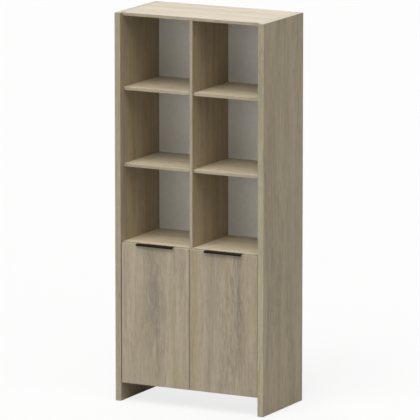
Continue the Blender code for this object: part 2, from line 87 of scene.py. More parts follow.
# %% [markdown]
# ## Helpers for materials
# A material is a tree of nodes. Two short helpers keep the trees readable: one adds a node and joins its
# inputs, the other does one sum. Most patterns are then made in the same few steps, which get helpers too: a
# noise is drawn, a ramp cuts a mask out of it, and the mask mixes two colours.

# %% Add nodes in few words
NODES_IN_ROW = 8
NODE_WIDE, NODE_TALL = 220, 340  # room for one node in the node editor
ROW_END = (NODES_IN_ROW * NODE_WIDE, 0)  # to the right of the rows
TREE_END = (ROW_END[0] + 2 * NODE_WIDE, 0)


def add_node(tree, kind, inputs=None, **settings):
    """Add a node. inputs maps a socket's name or number to a value or to another node's output."""
    node = tree.nodes.new(kind)
    row, column = divmod(len(tree.nodes), NODES_IN_ROW)
    node.location = (column * NODE_WIDE, -row * NODE_TALL)
    for key, value in settings.items():
        setattr(node, key, value)
    for key, value in (inputs or {}).items():
        if isinstance(value, bpy.types.NodeSocket):
            tree.links.new(value, node.inputs[key])
        else:
            node.inputs[key].default_value = value
    return node


def calc(tree, operation, first, second=0.0, third=0.0, clamp=False):
    """The result of one Math node."""
    inputs = {0: first, 1: second, 2: third}
    return add_node(tree, "ShaderNodeMath", inputs, operation=operation, use_clamp=clamp).outputs[0]


# %% Noise, masks and mixes
def split(tree, vector):
    """The X, Y and Z of a vector."""
    return add_node(tree, "ShaderNodeSeparateXYZ", {0: vector}).outputs


def noise(tree, vector, across, along, detail=2.0, roughness=0.5):
    """Noise about 0.5, with so many features to the metre across the grain and along it."""
    scale = (across, across, along)
    drawn = add_node(tree, "ShaderNodeVectorMath", {0: vector, 1: scale}, operation="MULTIPLY").outputs[0]
    inputs = {"Vector": drawn, "Scale": 1.0, "Detail": detail, "Roughness": roughness}
    return add_node(tree, "ShaderNodeTexNoise", inputs).outputs["Fac"]


def ramp(tree, value, low, high):
    """0 at low, 1 at high, and eased between them. low may be the larger of the two."""
    inputs = {"Value": value, "From Min": low, "From Max": high}
    return add_node(tree, "ShaderNodeMapRange", inputs, interpolation_type="SMOOTHSTEP").outputs["Result"]


def centred(tree, value, width):
    """A value about 0.5, made one about 0 and width times as wide."""
    return calc(tree, "MULTIPLY_ADD", value, width, -width / 2)


def lifted(tree, mask, least):
    """A mask from 0 to 1, made one from least to 1."""
    return calc(tree, "MULTIPLY_ADD", mask, 1 - least, least)


def mix_colours(tree, share, first, second, blend="MIX"):
    """The first colour where share is 0 and the second where it is 1."""
    inputs = {0: share, 6: first, 7: second}
    return add_node(tree, "ShaderNodeMix", inputs, data_type="RGBA", blend_type=blend).outputs[2]


# %% [markdown]
# ## Node groups
# An effect that several materials share is a node group: it is built once and placed in each material with
# its own values. A group here gives out only colours, masks, roughness and heights. The shader stays in the
# material.

# %% Start, end and place a node group
def new_group(name, inputs, outputs):
    """A group with named sockets: its tree, what its start gives and what its end takes."""
    tree = bpy.data.node_groups.new(name, "ShaderNodeTree")
    for label, (kind, value) in inputs.items():
        socket = tree.interface.new_socket(label, in_out="INPUT", socket_type=f"NodeSocket{kind}")
        if value is not None:
            socket.default_value = value
    for label, kind in outputs.items():
        tree.interface.new_socket(label, in_out="OUTPUT", socket_type=f"NodeSocket{kind}")
    start = add_node(tree, "NodeGroupInput").outputs
    end = add_node(tree, "NodeGroupOutput", location=ROW_END).inputs
    return tree, start, end


def give_out(tree, end, **results):
    """Join the results to the group's end, each by its socket's name."""
    for label, socket in results.items():
        tree.links.new(socket, end[label])


def use_group(tree, group, inputs):
    """Place a group in a tree. Returns its outputs."""
    return add_node(tree, "ShaderNodeGroup", inputs, node_tree=group).outputs


# %% [markdown]
# ### Eased edges
# A board's eased edges are painted a little paler, as a painted highlight where they catch the light. A
# modeller could paint this by hand. Here the surface's own direction tells: on a flat face one axis of the
# normal is 1, and on an eased edge none is. The mask reads the normal in the object's own space, so it moves
# with a door.

# %% Mask of the eased edges
FLAT = 0.97  # the largest of a normal's X, Y and Z, on a flat face
EASED = 0.80  # the same on an eased edge


def make_edge_mask():
    tree, start, end = new_group("eased_edge_mask", {"Normal": ("Vector", None)}, {"Mask": "Float"})
    size = add_node(tree, "ShaderNodeVectorMath", {0: start["Normal"]}, operation="ABSOLUTE").outputs[0]
    parts = split(tree, size)
    largest = calc(tree, "MAXIMUM", parts["X"], calc(tree, "MAXIMUM", parts["Y"], parts["Z"]))
    give_out(tree, end, Mask=ramp(tree, largest, FLAT, EASED))
    return tree


edge_mask = make_edge_mask()
print("group:", edge_mask.name)

# %% [markdown]
# ### Oak foil
# The boards are chipboard with a printed and embossed oak foil. Wood can be faked with one stretched noise,
# but it then looks the same at every distance. A real board has several scales at once: pores, fibres of a
# millimetre, short ticks, streaks of a centimetre, broad bands of sapwood and heartwood, smoky drifts, and
# the arched rings of a plank cut beside the log's heart. Each is a layer of its own in the next cells. The
# group's inputs are what may differ from board to board.

# %% Oak foil: what a board can set
PLAIN_SMOKE = 0.3
OAK_INPUTS = {
    "Vector": ("Vector", None),
    "Normal": ("Vector", None),
    "Light": ("Color", (0.475, 0.410, 0.303, 1)),
    "Dark": ("Color", (0.305, 0.252, 0.170, 1)),
    "Heart": ("Color", (0.235, 0.200, 0.150, 1)),
    "Smoke": ("Float", PLAIN_SMOKE),
    "Face Painted Light": ("Color", (1, 1, 1, 1)),
    "Band Painted Light": ("Color", (1, 1, 1, 1)),
    "Heart Place": ("Float", 0.0),
    "Heart Height": ("Float", 0.0),
    "Heart Width": ("Float", 0.05),
    "Heart Length": ("Float", 0.3),
    "Heart Strength": ("Float", 0.0),
}
FINISH = {"Color": "Color", "Roughness": "Float", "Height": "Float"}  # what a finish gives out
print("oak foil:", len(OAK_INPUTS), "inputs and", len(FINISH), "outputs")

# %% [markdown]
# The pattern runs in the board's own frame: X across the grain, Y through the board and Z along the grain. On
# a board's end the edge band runs the other way, so there the pattern is laid down. No line in wood is quite
# straight either, so two slow noises push the pattern sideways before anything is drawn.

# %% Oak foil: where the pattern lies
FACING = (0.6, 0.8)  # where a face starts to count as looking along an axis, and where it counts in full
DRIFT = 0.05  # from one side to the other
DRIFT_NOISE = (5, 1.6, 1)  # across, along and detail, as noise takes them
RIPPLE = 0.005
RIPPLE_NOISE = (40, 9, 1)


def looks_along(tree, normal, axis):
    """1 on the faces that look along an axis, either way."""
    return ramp(tree, calc(tree, "ABSOLUTE", split(tree, normal)[axis]), *FACING)


def turn_ends(tree, vector, normal):
    """The place in the pattern, with the grain laid down on the board's ends."""
    place = split(tree, vector)
    lying = {0: place["Y"], 1: place["Z"], 2: place["X"]}
    laid = add_node(tree, "ShaderNodeCombineXYZ", lying).outputs[0]
    inputs = {0: looks_along(tree, normal, "Z"), 4: vector, 5: laid}
    return add_node(tree, "ShaderNodeMix", inputs, data_type="VECTOR").outputs[1]


def wander(tree, vector):
    """The place, pushed a little sideways."""
    drift = centred(tree, noise(tree, vector, *DRIFT_NOISE), DRIFT)
    ripple = centred(tree, noise(tree, vector, *RIPPLE_NOISE), RIPPLE)
    shift = add_node(tree, "ShaderNodeCombineXYZ", {0: calc(tree, "ADD", drift, ripple)}).outputs[0]
    return add_node(tree, "ShaderNodeVectorMath", {0: vector, 1: shift}, operation="ADD").outputs[0]


# %% [markdown]
# The rings of a log are seen on a plank as arches. They could be drawn one by one, but they follow from one
# sum: the plank leaves the log's heart slowly along its length and quickly across its width. A sine of that
# distance gives a ring every few millimetres, and a noise makes them waver.

# %% Oak foil: the arched rings
RING_SPACING = 0.008
RING_SLOPE = 0.035  # how fast the plank leaves the log's heart
RING_BOW = 0.05  # width of an arch
RING_WAVER = 0.012
RING_NOISE = (30, 4, 2)
RING_REACH = 2.2  # how far the rings go, in widths of the heart


def draw_rings(tree, vector, start, aside, up):
    """Rings from -1 to 1 about the heart, which fade out sideways."""
    arch = calc(tree, "DIVIDE", calc(tree, "MULTIPLY", aside, aside), RING_BOW)
    depth = calc(tree, "MULTIPLY_ADD", up, RING_SLOPE, arch)
    depth = calc(tree, "MULTIPLY_ADD", noise(tree, vector, *RING_NOISE), RING_WAVER, depth)
    rings = calc(tree, "SINE", calc(tree, "MULTIPLY", depth, math.tau / RING_SPACING))
    reach = calc(tree, "MULTIPLY", start["Heart Width"], RING_REACH)
    near = ramp(tree, calc(tree, "ABSOLUTE", aside), reach, 0.0)
    return calc(tree, "MULTIPLY", rings, calc(tree, "MULTIPLY", near, start["Heart Strength"]))


# %% [markdown]
# Oak is smoky over the heart, and in fainter drifts elsewhere. A soft patch alone looks like a stain, so it
# is made of blots, and the pale ticks of the grain break it into short streaks.

# %% Oak foil: the smoke
BLOT_NOISE = (26, 3.5, 3, 0.6)
BLOTS = (0.42, 0.60)  # where their mask starts in the noise, and where it is full
BETWEEN_BLOTS = 0.3  # the share of the smoke that is left there
SMOKE_NOISE = (15, 1.3, 2)
DRIFTS = (0.50, 0.68)
BROKEN = (0.58, 0.40)
ON_TICKS = 0.4  # the share of the smoke that is left on the palest ticks


def draw_smoke(tree, vector, start, aside, up, ticks):
    """A mask of the patch over the heart and of the drifts."""
    across = ramp(tree, calc(tree, "ABSOLUTE", aside), start["Heart Width"], 0.0)
    lengthways = ramp(tree, calc(tree, "ABSOLUTE", up), start["Heart Length"], 0.0)
    patch = calc(tree, "MULTIPLY", calc(tree, "MULTIPLY", across, lengthways), start["Heart Strength"])
    blots = ramp(tree, noise(tree, vector, *BLOT_NOISE), *BLOTS)
    patch = calc(tree, "MULTIPLY", patch, lifted(tree, blots, BETWEEN_BLOTS))
    drifts = ramp(tree, noise(tree, vector, *SMOKE_NOISE), *DRIFTS)
    smoke = calc(tree, "ADD", patch, calc(tree, "MULTIPLY", drifts, start["Smoke"]))
    streaky = lifted(tree, ramp(tree, ticks, *BROKEN), ON_TICKS)
    return calc(tree, "MULTIPLY", smoke, streaky, clamp=True)


# %% [markdown]
# Over the grain lie streaks that are a shade warmer or greyer, fine dark pores, and a painted highlight: a
# paler line on the eased edges. Last comes a tint of painted light and shade, one for the broad faces and one
# for the edge band, which is a separate piece of foil.

# %% Oak foil: hues, pores, worn edges and tints
HUE_NOISE = (30, 1.1, 2)
HUES = (0.35, 0.65)
WARM_STREAK = (1.012, 1.0, 0.985, 1)
GREY_STREAK = (0.988, 1.0, 1.015, 1)
PORE_DARKNESS = 0.35
# how far the eased edges are mixed towards the pale oak colour, as a painted highlight
EDGE_HIGHLIGHT = 0.35


def lay_over(tree, vector, start, colour, pores):
    """The grain's colour with all that lies over it."""
    hue = ramp(tree, noise(tree, vector, *HUE_NOISE), *HUES)
    streaks = mix_colours(tree, hue, GREY_STREAK, WARM_STREAK)
    colour = mix_colours(tree, 1.0, colour, streaks, "MULTIPLY")
    colour = mix_colours(tree, calc(tree, "MULTIPLY", pores, PORE_DARKNESS), colour, start["Heart"])
    # the eased edges get a painted highlight: they are mixed towards the pale oak colour
    eased_edges = use_group(tree, edge_mask, {"Normal": start["Normal"]})["Mask"]
    colour = mix_colours(tree, calc(tree, "MULTIPLY", eased_edges, EDGE_HIGHLIGHT), colour, start["Light"])
    # the tint is painted light and shade, one for the broad faces and one for the edge band
    is_face = looks_along(tree, start["Normal"], "Y")
    tint = mix_colours(tree, is_face, start["Band Painted Light"], start["Face Painted Light"])
    return mix_colours(tree, 1.0, colour, tint, "MULTIPLY")


# %% [markdown]
# The shares of the noises and the rings add up to a tone between dark, at 0, and light, at 1. Fibres and
# pores also give the height of the embossing, and the fibres the roughness.

# %% Oak foil: put the layers together
LAYERS = {  # features to the metre across the grain and along it, detail and roughness
    "fibres": (600, 14, 3, 0.65),
    "ticks": (120, 24, 2, 0.6),
    "streaks": (85, 4.5, 3, 0.6),
    "bands": (20, 0.9, 2, 0.5),
    "flecks": (1300, 70, 1, 0.5),
}
SHARES = {"bands": 1.3, "streaks": 1.15, "ticks": 0.75, "fibres": 0.6}
RING_SHARE = 0.16
MIDDLE_TONE = 0.5
PORES = (0.60, 0.70)
FOIL_ROUGHNESS = 0.60
FIBRE_SHEEN = 0.14  # how much smoother the palest fibres are


def make_oak_foil():
    tree, start, end = new_group("oak_foil", OAK_INPUTS, FINISH)
    vector = wander(tree, turn_ends(tree, start["Vector"], start["Normal"]))
    layers = {name: noise(tree, vector, *numbers) for name, numbers in LAYERS.items()}
    place = split(tree, vector)
    aside = calc(tree, "SUBTRACT", place["X"], start["Heart Place"])
    up = calc(tree, "SUBTRACT", place["Z"], start["Heart Height"])

    tone = MIDDLE_TONE
    for name, share in SHARES.items():
        tone = calc(tree, "ADD", tone, centred(tree, layers[name], share))
    rings = draw_rings(tree, vector, start, aside, up)
    tone = calc(tree, "MULTIPLY_ADD", rings, RING_SHARE, tone, clamp=True)
    colour = mix_colours(tree, tone, start["Dark"], start["Light"])

    smoke = draw_smoke(tree, vector, start, aside, up, layers["ticks"])
    colour = mix_colours(tree, smoke, colour, start["Heart"])
    pores = ramp(tree, layers["flecks"], *PORES)
    colour = lay_over(tree, vector, start, colour, pores)
    rough = calc(tree, "MULTIPLY_ADD", layers["fibres"], -FIBRE_SHEEN, FOIL_ROUGHNESS)
    height = calc(tree, "SUBTRACT", layers["fibres"], pores)
    give_out(tree, end, Color=colour, Roughness=rough, Height=height)
    return tree


oak_foil = make_oak_foil()
print("group:", oak_foil.name, "with", len(oak_foil.nodes), "nodes")

# %% [markdown]
# ### Raw chipboard and raw hardboard
# Where the foil stops, the board itself shows: on the rear edges of the sides and the top, and on the back
# of the thin back boards. Chipboard is pressed from flakes of several browns, so cells of random size and
# tone look right. Hardboard is pressed fibre, much finer, so the same group is used with smaller cells.

# %% Flakes of pressed board
FLAKE_SHARE = 0.6
CLOUD_SHARE = 0.6
BOARD_CLOUDS = (12, 12, 3)


def make_pressed_board():
    inputs = {
        "Vector": ("Vector", None),
        "Flakes": ("Float", 600.0),
        "Pale": ("Color", (0.46, 0.34, 0.20, 1)),
        "Deep": ("Color", (0.20, 0.12, 0.06, 1)),
    }
    tree, start, end = new_group("pressed_board", inputs, {"Color": "Color"})
    voronoi = {"Vector": start["Vector"], "Scale": start["Flakes"]}
    cells = add_node(tree, "ShaderNodeTexVoronoi", voronoi).outputs["Color"]
    flakes = add_node(tree, "ShaderNodeSeparateColor", {0: cells}).outputs[0]
    clouds = noise(tree, start["Vector"], *BOARD_CLOUDS)
    tone = calc(tree, "MULTIPLY", flakes, FLAKE_SHARE)
    tone = calc(tree, "MULTIPLY_ADD", clouds, CLOUD_SHARE, tone, clamp=True)
    give_out(tree, end, Color=mix_colours(tree, tone, start["Deep"], start["Pale"]))
    return tree


pressed_board = make_pressed_board()
print("group:", pressed_board.name)

# %% [markdown]
# ### Mottle
# Plain finishes such as plastic, plating and powder coat aren't perfectly even. This group gives a slight
# change of tone, a mottle for the roughness and a fine height for a bump.

# %% Mottle of a plain finish
MOTTLE_CLOUDS = (45, 45, 3)
MOTTLE_SHADE = 0.12  # what clouds and grain each add to the tone
MOTTLE_DARKEST = 0.88
MOTTLE_SPREAD = 0.1  # of the roughness
MOTTLE_INPUTS = {
    "Vector": ("Vector", None),
    "Grain": ("Float", 2000.0),
    "Color": ("Color", (0.5, 0.5, 0.5, 1)),
    "Roughness": ("Float", 0.4),
}


def make_mottle():
    tree, start, end = new_group("mottle", MOTTLE_INPUTS, FINISH)
    clouds = noise(tree, start["Vector"], *MOTTLE_CLOUDS)
    fine = {"Vector": start["Vector"], "Scale": start["Grain"], "Detail": 2.0}
    grain = add_node(tree, "ShaderNodeTexNoise", fine).outputs["Fac"]
    shade = calc(tree, "MULTIPLY_ADD", calc(tree, "ADD", clouds, grain), MOTTLE_SHADE, MOTTLE_DARKEST)
    tint = add_node(tree, "ShaderNodeCombineColor", {0: shade, 1: shade, 2: shade}).outputs[0]
    colour = mix_colours(tree, 1.0, start["Color"], tint, "MULTIPLY")
    swing = calc(tree, "SUBTRACT", clouds, 0.5)
    rough = calc(tree, "MULTIPLY_ADD", swing, MOTTLE_SPREAD, start["Roughness"])
    give_out(tree, end, Color=colour, Roughness=rough, Height=grain)
    return tree


mottle = make_mottle()
print("group:", mottle.name)

# %% [markdown]
# ## Materials
# A material is one Principled shader, fed by a node group or two. Their height goes through a Bump node,
# because such fine relief isn't worth real geometry.

# %% Start and join a material
BUMP_STRENGTH = 0.5
REARWARD = (0.8, 0.9)  # where a face starts to count as looking backwards, and where it counts in full


def start_material(name):
    """An empty material with a Principled shader. Returns the material, its tree and the shader."""
    made = bpy.data.materials.new(name)
    made.use_nodes = True
    made.node_tree.nodes.clear()
    shader = add_node(made.node_tree, "ShaderNodeBsdfPrincipled", location=ROW_END)
    add_node(made.node_tree, "ShaderNodeOutputMaterial", {0: shader.outputs[0]}, location=TREE_END)
    return made, made.node_tree, shader


def join_shader(tree, shader, colour, finish, bump):
    """Give the shader a colour, and a finish's roughness and height. bump is the depth of the relief."""
    tree.links.new(colour, shader.inputs["Base Color"])
    tree.links.new(finish["Roughness"], shader.inputs["Roughness"])
    inputs = {"Height": finish["Height"], "Distance": bump, "Strength": BUMP_STRENGTH}
    tree.links.new(add_node(tree, "ShaderNodeBump", inputs).outputs[0], shader.inputs["Normal"])


def looks_back(tree, normal):
    """1 on the faces that look backwards."""
    return ramp(tree, split(tree, normal)["Y"], *REARWARD)


def paint(node, material):
    """Give a CAD node its finish."""
    slots = nodes[node].data.materials
    slots.clear()
    slots.append(material)


# %% [markdown]
# ## The boards
# The two doors are the cabinet's show side. Each has one smoky cathedral figure, at the places where the
# picture shows them, and the right side has a fainter one near its front edge. The other boards are plainer.
# Each board can also have a tint of its own, which is painted light and shade: the top, the right side and the
# shelves are painted paler where light falls on them, the right door darker, and the niches' inner faces
# warmer with light thrown back by the oak. The tints were set board by board from the picture.

# %% List the boards, their figures and their tints
DOORS = ("left_door", "right_door")
UPRIGHTS = ("left_side_panel", "right_side_panel", "upper_divider", "lower_divider")
OPEN_SHELVES = tuple(f"{row}_{half}_open_shelf" for row in ("lower", "upper") for half in ("left", "right"))
FIXED_BOARDS = ("top_panel", "middle_panel", "bottom_panel", *OPEN_SHELVES)
LEVELS = (*FIXED_BOARDS, "left_cupboard_shelf", "right_cupboard_shelf")
RAW_REAR = ("left_side_panel", "right_side_panel", "top_panel")
HEART_INPUTS = ("Heart Place", "Heart Height", "Heart Width", "Heart Length", "Heart Strength")
HEARTS = {  # in the order of the inputs
    "left_door": (-0.184, 0.42, 0.085, 0.45, 0.8),
    "right_door": (0.252, 0.50, 0.080, 0.45, 1.2),
    "right_side_panel": (-0.11, 0.75, 0.12, 0.75, 0.45),
}
SMOKE = {**dict.fromkeys(DOORS, 0.4), **dict.fromkeys(UPRIGHTS[:3], 0.45)}
# Painted light and shade: shares of red, green and blue that make a board paler where light falls on it, and
# darker or warmer where it is shaded or lit by light thrown back by the oak.
PAINTED_LIGHT_TINTS = {  # of the broad faces and of the edge band
    "left_door": ((1.02, 1.02, 1.02), (1.02, 1.02, 1.02)),
    "right_door": ((0.93, 0.92, 0.92), (0.93, 0.92, 0.92)),
    "left_side_panel": ((0.99, 0.94, 0.84), (0.94, 0.985, 0.93)),
    "right_side_panel": ((1.05, 1.02, 0.97), (0.99, 1.02, 0.99)),
    "upper_divider": ((1.01, 0.94, 0.84), (0.99, 1.02, 1.045)),
    "top_panel": ((1.12, 1.12, 1.14), (1.05, 1.05, 1.05)),
}
# the shelves and the middle panel are painted much paler on their broad faces, for the light that falls on
# their tops
for board in ("middle_panel", *OPEN_SHELVES):
    PAINTED_LIGHT_TINTS[board] = ((1.40, 1.40, 1.38), (1.07, 1.07, 1.07))
print("boards:", len(DOORS + UPRIGHTS + LEVELS), "of which", len(PAINTED_LIGHT_TINTS), "have a tint")

# %% [markdown]
# No two boards are cut from the same place in the foil's roll. One material on every board would repeat the
# same streaks, so each board gets its own material with its own seed, which slides the pattern through the
# board. A Mapping node turns the pattern so that the grain runs along the board, and another the normal.

# %% Finish the boards
BOARD_TURNS = {
    "door": Matrix(((1, 0, 0), (0, 1, 0), (0, 0, 1))),
    "upright": Matrix(((0, 1, 0), (-1, 0, 0), (0, 0, 1))),
    "level": Matrix(((0, 1, 0), (0, 0, 1), (1, 0, 0))),
}
SEED_STEP = 1.37  # through the pattern from one board to the next
FOIL_BUMP = 0.00012


def oak(board, stance, seed):
    """Oak foil for a board, with the board's own figure, tint and place in the pattern."""
    made, tree, shader = start_material(f"oak_{board}")
    spot = add_node(tree, "ShaderNodeTexCoord").outputs
    turn = BOARD_TURNS[stance].to_euler()
    seeded = {"Vector": spot["Object"], "Location": (0, seed * SEED_STEP, 0), "Rotation": turn}
    turned = {"Vector": spot["Normal"], "Rotation": turn}
    inputs = {
        "Vector": add_node(tree, "ShaderNodeMapping", seeded, vector_type="POINT").outputs[0],
        "Normal": add_node(tree, "ShaderNodeMapping", turned, vector_type="VECTOR").outputs[0],
        "Smoke": SMOKE.get(board, PLAIN_SMOKE),
    }
    inputs.update(zip(HEART_INPUTS, HEARTS.get(board, ())))
    # the board's tints of painted light and shade go to the group
    for key, tint in zip(("Face Painted Light", "Band Painted Light"), PAINTED_LIGHT_TINTS.get(board, ())):
        inputs[key] = (*tint, 1)
    foil = use_group(tree, oak_foil, inputs)
    colour = foil["Color"]
    if board in RAW_REAR:
        raw = use_group(tree, pressed_board, {"Vector": spot["Object"]})
        colour = mix_colours(tree, looks_back(tree, spot["Normal"]), colour, raw["Color"])
    join_shader(tree, shader, colour, foil, FOIL_BUMP)
    return made


seed = 0
for stance, boards in (("door", DOORS), ("upright", UPRIGHTS), ("level", LEVELS)):
    for board in boards:
        seed += 1
        paint(board, oak(board, stance, seed))
print("oak boards:", seed)

# %% [markdown]
# ## Plain finishes
# The other materials are one smooth substance each. They all use the mottle group, and differ in colour,
# roughness and metal. Numbers that are the same all over a surface go straight into the shader.

# %% Mix the plain finishes
PLAIN_BUMP = 0.00003


def plain(name, colour, roughness, grain, bump=PLAIN_BUMP, **constants):
    """A plain finish. constants are inputs of the shader, with _ for each space in a name."""
    made, tree, shader = start_material(name)
    spot = add_node(tree, "ShaderNodeTexCoord").outputs["Object"]
    inputs = {"Vector": spot, "Grain": grain, "Color": (*colour, 1), "Roughness": roughness}
    finish = use_group(tree, mottle, inputs)
    join_shader(tree, shader, finish["Color"], finish, bump)
    for key, value in constants.items():
        shader.inputs[key.replace("_", " ")].default_value = value
    return made


powder_black = plain(
    "powder_coat_black", (0.010, 0.008, 0.005), 0.50, grain=2600, bump=0.00006, Specular_IOR_Level=0.13
)
nickel = plain("nickel_plate", (0.62, 0.61, 0.58), 0.30, grain=900, Metallic=1.0)
zinc = plain("zinc_plate", (0.58, 0.58, 0.56), 0.36, grain=1400, Metallic=1.0)
glide_plastic = plain("glide_plastic", (0.55, 0.54, 0.51), 0.50, grain=1500)
strip_plastic = plain("strip_plastic", (0.62, 0.60, 0.57), 0.45, grain=700)
cap_plastic = plain("cap_plastic", (0.47, 0.41, 0.31), 0.45, grain=1500)
bumper_clear = plain(
    "bumper_clear", (0.85, 0.85, 0.82), 0.25, grain=300, Transmission_Weight=0.9, IOR=1.49
)
print("materials so far:", len(bpy.data.materials))

# %% [markdown]
# The back boards have two faces: a smooth off-white foil to the front and bare brown hardboard to the rear.
# The normal tells one from the other, as on the eased edges. The strip that joins them is plain plastic.

# %% Finish the back boards
WHITE_FOIL = {"Color": (0.81, 0.82, 0.805, 1), "Roughness": 0.55}
HARDBOARD = {"Flakes": 1500, "Pale": (0.30, 0.19, 0.105, 1), "Deep": (0.20, 0.12, 0.065, 1)}
WHITE_BUMP = 0.00004


def make_back_white():
    made, tree, shader = start_material("back_board_white")
    spot = add_node(tree, "ShaderNodeTexCoord").outputs
    white = use_group(tree, mottle, {"Vector": spot["Object"], **WHITE_FOIL})
    raw = use_group(tree, pressed_board, {"Vector": spot["Object"], **HARDBOARD})
    colour = mix_colours(tree, looks_back(tree, spot["Normal"]), white["Color"], raw["Color"])
    join_shader(tree, shader, colour, white, WHITE_BUMP)
    return made


back_white = make_back_white()
for board in ("upper_back_board", "lower_back_board"):
    paint(board, back_white)
paint("back_joining_strip", strip_plastic)
print("back boards:", back_white.name)

# %% [markdown]
# ## Helpers for modelling
# The new pieces are modelled with the operators that a modeller would click: a primitive is added at its size
# and place, and shaped in edit mode. An operator acts on all that is selected, so everything is deselected
# first, and faces and edges are then picked in code by their place or direction. A finished piece gets a
# name, a material and the body that it rides on, so that it moves with a door.

# %% Pick faces and edges
def begin():
    """Leave edit mode and deselect everything."""
    if bpy.context.mode != "OBJECT":
        bpy.ops.object.mode_set(mode="OBJECT")
    bpy.ops.object.select_all(action="DESELECT")


def pick(kind, test):
    """In edit mode, select the faces or edges that pass test(centre, normal or direction)."""
    bpy.ops.mesh.select_mode(type=kind)
    bpy.ops.mesh.select_all(action="DESELECT")
    mesh = bpy.context.object.data
    shape = bmesh.from_edit_mesh(mesh)
    if kind == "FACE":
        for face in shape.faces:
            face.select_set(test(face.calc_center_median(), face.normal))
    else:
        for edge in shape.edges:
            start, end = (corner.co for corner in edge.verts)
            edge.select_set(test((start + end) / 2, (end - start).normalized()))
    bmesh.update_edit_mesh(mesh)


# %% Finish a piece
def apply_modifier(piece, kind, **settings):
    """Add a modifier and apply it at once."""
    change = piece.modifiers.new(kind, kind)
    for key, value in settings.items():
        setattr(change, key, value)
    bpy.context.view_layer.objects.active = piece
    bpy.ops.object.modifier_apply(modifier=change.name)


def smooth(piece, degrees=35):
    """Put the piece's place into its mesh, and shade it smooth up to an angle."""
    begin()
    piece.select_set(True)
    bpy.context.view_layer.objects.active = piece
    bpy.ops.object.transform_apply(location=True, rotation=True, scale=True)
    bpy.ops.object.shade_smooth_by_angle(angle=math.radians(degrees))


def hand_over(piece, name, material, body):
    """Name a finished piece, give it its finish and let it ride on its body."""
    piece.name = piece.data.name = name
    piece.data.materials.clear()
    piece.data.materials.append(material)
    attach(piece, body)
    return piece


# %% [markdown]
# ## The pulls
# Each pull is one strip of steel, bent twice and hooked over the door's top edge. It could be cut from a
# block, but bending is closer to how it is made: an upright sheet is added, its top edge is extruded forwards
# and then down, and the folds are rounded. Solidify gives the sheet its gauge, and a bevel breaks its edges.

# %% Bend the pulls
SIDES = {"left": -1, "right": 1}  # the sign of X on each side
PULL_SHEET = 0.0015
PULL_LIP = 0.009
PULL_FOLD = 0.0014  # how far a fold reaches from its corner
PULL_BREAK = 0.00025
PULL_BREAK_ANGLE = math.radians(60)
ACROSS = 0.9  # the least part along X of an edge that runs across the door


def bend_pull(label):
    low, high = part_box(f"{label}_pull")
    length = high.x - low.x
    half = PULL_SHEET / 2
    rise = high.z - half - low.z
    top = high.z - PULL_SHEET
    centre = ((low.x + high.x) / 2, high.y - half, low.z + rise / 2)
    begin()
    bpy.ops.mesh.primitive_plane_add(size=length, location=centre, rotation=(math.radians(90), 0, 0))
    pull = bpy.context.object
    bpy.ops.object.transform_apply(location=True, rotation=True, scale=True)
    bpy.ops.object.mode_set(mode="EDIT")
    bpy.ops.transform.resize(value=(1, 1, rise / length), center_override=centre)
    for step in ((0, -(high.y - low.y - PULL_SHEET), 0), (0, 0, -(PULL_LIP - half))):
        front = min(corner.co.y for corner in bmesh.from_edit_mesh(pull.data).verts) + half
        pick("EDGE", lambda at, way: abs(way.x) > ACROSS and at.z > top and at.y < front)
        bpy.ops.mesh.extrude_region_move(TRANSFORM_OT_translate={"value": step})
    pick("EDGE", lambda at, way: abs(way.x) > ACROSS and at.z > top)
    bpy.ops.mesh.bevel(offset=PULL_FOLD, segments=5, affect="EDGES")
    bpy.ops.mesh.select_all(action="SELECT")
    bpy.ops.mesh.normals_make_consistent(inside=False)
    bpy.ops.object.mode_set(mode="OBJECT")
    apply_modifier(pull, "SOLIDIFY", thickness=PULL_SHEET, offset=0, use_even_offset=True)
    apply_modifier(pull, "BEVEL", width=PULL_BREAK, segments=2, angle_limit=PULL_BREAK_ANGLE)
    smooth(pull)
    hand_over(pull, f"bent_pull_{label}", powder_black, f"{label}_door")
    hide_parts(f"{label}_pull")
    return pull


for label in SIDES:
    pull = bend_pull(label)
    print(pull.name, [round(side * 1000, 1) for side in pull.dimensions], "mm")

# %% [markdown]
# ## Concealed hinges
# The CAD hinges have their true form, but with sharp corners. A stamped and plated hinge has slightly rounded
# ones, which catch the light. So each part is copied, its loose triangles are merged and flattened back into
# faces, and its corners are bevelled. Where the bevel brings corners together, they are merged again, so that
# no face is left without an area. The copy stands for the CAD part and rides on the same body.

# %% Dress the hinges
HINGE_ROWS = ("lower", "upper")
HINGE_BODIES = {"cup": "door", "link": "link", "arm": None, "plate": None}  # None is the carcass
HINGE_BREAK = 0.00018
HINGE_BREAK_ANGLE = math.radians(50)
SAME_PLACE = 0.000002  # corners that are closer than this are one
SAME_FACE = math.radians(1)


def add_copy(master, name):
    """A copy with a mesh of its own, selected and active."""
    twin = bpy.data.objects.new(name, master.data.copy())
    bpy.context.scene.collection.objects.link(twin)
    twin.select_set(True)
    bpy.context.view_layer.objects.active = twin
    return twin


def open_and_merge():
    """Open the active piece for editing and merge the corners that share a place."""
    bpy.ops.object.mode_set(mode="EDIT")
    bpy.ops.mesh.select_all(action="SELECT")
    bpy.ops.mesh.remove_doubles(threshold=SAME_PLACE)


def dress_hinge_part(node, name, body):
    begin()
    copy = add_copy(nodes[node], name)
    open_and_merge()
    bpy.ops.mesh.dissolve_limited(angle_limit=SAME_FACE)
    bpy.ops.object.mode_set(mode="OBJECT")
    apply_modifier(copy, "BEVEL", width=HINGE_BREAK, segments=2, angle_limit=HINGE_BREAK_ANGLE)
    open_and_merge()
    smooth(copy)
    hand_over(copy, name, nickel, body)
    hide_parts(node)
    return copy


